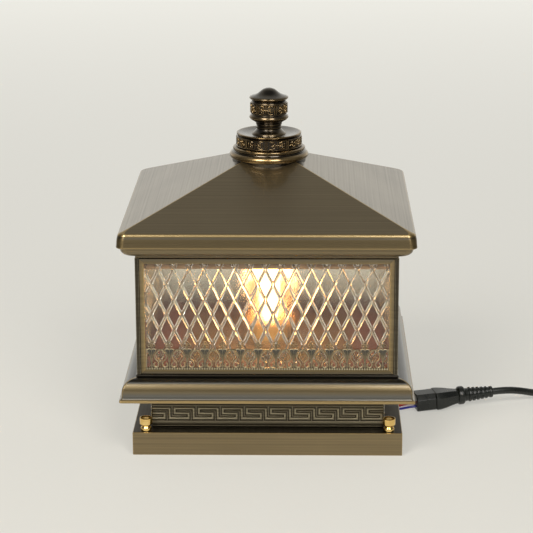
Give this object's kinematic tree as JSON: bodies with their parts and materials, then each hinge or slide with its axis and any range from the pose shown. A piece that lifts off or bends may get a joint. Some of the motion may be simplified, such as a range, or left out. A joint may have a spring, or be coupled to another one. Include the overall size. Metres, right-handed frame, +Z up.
{
  "type": "pillar light",
  "caption": "Square outdoor pillar light: glazed lamp box with pyramid roof and finial, on a moulded plinth and base box with studs, wired to a mains lead.",
  "frame": {"origin": "centre of the base box's underside, on the surface that it stands on", "axes": "+Z up, the front faces -Y, the lead leaves towards +X"},
  "size_m": [0.5203, 0.2798, 0.3227],
  "materials": {
    "antique_bronze": "brushed, darkened",
    "worn_bronze": "darkened with rubbed edges",
    "dark_bronze": "polished, dark",
    "polished_brass": "polished",
    "galvanised_steel": "satin",
    "contact_brass": "satin",
    "lamp_cap_alloy": "satin",
    "patterned_glass": "cast pattern",
    "lamp_glow": "warm, lit",
    "white_ceramic": "glazed",
    "black_rubber": "matt",
    "cream_plastic": "moulded",
    "brown_insulation": "smooth",
    "red_insulation": "smooth",
    "white_insulation": "smooth",
    "blue_insulation": "smooth",
    "black_plastic": "moulded",
    "black_strap": "woven"
  },
  "bodies": {
    "lantern": {"mounting_plate": "galvanised_steel", "cross_bar": "galvanised_steel", "tie_rod": "galvanised_steel", "rod_nuts": "galvanised_steel", "holder_bracket": "galvanised_steel", "bracket_screws": "galvanised_steel", "terminal_screws": "galvanised_steel", "base_box": "antique_bronze", "plinth": "antique_bronze", "moulding": "antique_bronze", "floor_pan": "antique_bronze", "top_frame": "antique_bronze", "cable_grommet": "black_rubber", "roof_gasket": "black_rubber", "terminal_block": "cream_plastic", "lampholder_body": "white_ceramic", "lampholder_shell": "contact_brass", "lampholder_contact": "contact_brass", "lampholder_leads": "brown_insulation", "supply_wire_red": "red_insulation", "supply_wire_white": "white_insulation", "supply_wire_blue": "blue_insulation", "connector_body": "black_plastic", "mains_cable": "black_plastic", "cable_coil": "black_plastic", "plug_cable": "black_plastic", "plug_body": "black_plastic", "plug_pins": "contact_brass", "coil_tie": "black_strap", "post_front_left": "antique_bronze", "post_front_right": "antique_bronze", "post_rear_right": "antique_bronze", "post_rear_left": "antique_bronze", "key_band_front": "worn_bronze", "window_frame_front": "worn_bronze", "glass_pane_front": "patterned_glass", "cast_strip_front": "worn_bronze", "key_band_right": "worn_bronze", "window_frame_right": "worn_bronze", "glass_pane_right": "patterned_glass", "cast_strip_right": "worn_bronze", "key_band_rear": "worn_bronze", "window_frame_rear": "worn_bronze", "glass_pane_rear": "patterned_glass", "cast_strip_rear": "worn_bronze", "key_band_left": "worn_bronze", "window_frame_left": "worn_bronze", "glass_pane_left": "patterned_glass", "cast_strip_left": "worn_bronze"},
    "roof": {"roof_shell": "antique_bronze", "roof_fascia": "antique_bronze", "finial_collar": "dark_bronze", "finial_disc": "dark_bronze"},
    "finial": {"finial_knob": "dark_bronze"},
    "lamp": {"lamp_cap": "lamp_cap_alloy", "lamp_glass": "lamp_glow"},
    "nut_front_left": {"nut_front_left": "polished_brass"},
    "nut_front_right": {"nut_front_right": "polished_brass"},
    "nut_rear_right": {"nut_rear_right": "polished_brass"},
    "nut_rear_left": {"nut_rear_left": "polished_brass"}
  },
  "joints": [
    {"name": "roof_lift", "type": "slide", "parent": "lantern", "child": "roof", "axis": [0, 0, 1], "range_m": [0, 0.15]},
    {"name": "finial_turn", "type": "hinge", "parent": "roof", "child": "finial", "pos_m": [0, 0, 0.2791], "axis": [0, 0, 1], "continuous": true},
    {"name": "lamp_lift", "type": "slide", "parent": "lantern", "child": "lamp", "axis": [0, 0, 1], "range_m": [0, 0.022]},
    {"name": "nut_front_left_turn", "type": "hinge", "parent": "lantern", "child": "nut_front_left", "pos_m": [-0.1127, -0.1173, 0.022], "axis": [0, 0, 1], "continuous": true},
    {"name": "nut_front_right_turn", "type": "hinge", "parent": "lantern", "child": "nut_front_right", "pos_m": [0.1127, -0.1173, 0.022], "axis": [0, 0, 1], "continuous": true},
    {"name": "nut_rear_right_turn", "type": "hinge", "parent": "lantern", "child": "nut_rear_right", "pos_m": [0.1127, 0.1173, 0.022], "axis": [0, 0, 1], "continuous": true},
    {"name": "nut_rear_left_turn", "type": "hinge", "parent": "lantern", "child": "nut_rear_left", "pos_m": [-0.1127, 0.1173, 0.022], "axis": [0, 0, 1], "continuous": true}
  ]
}
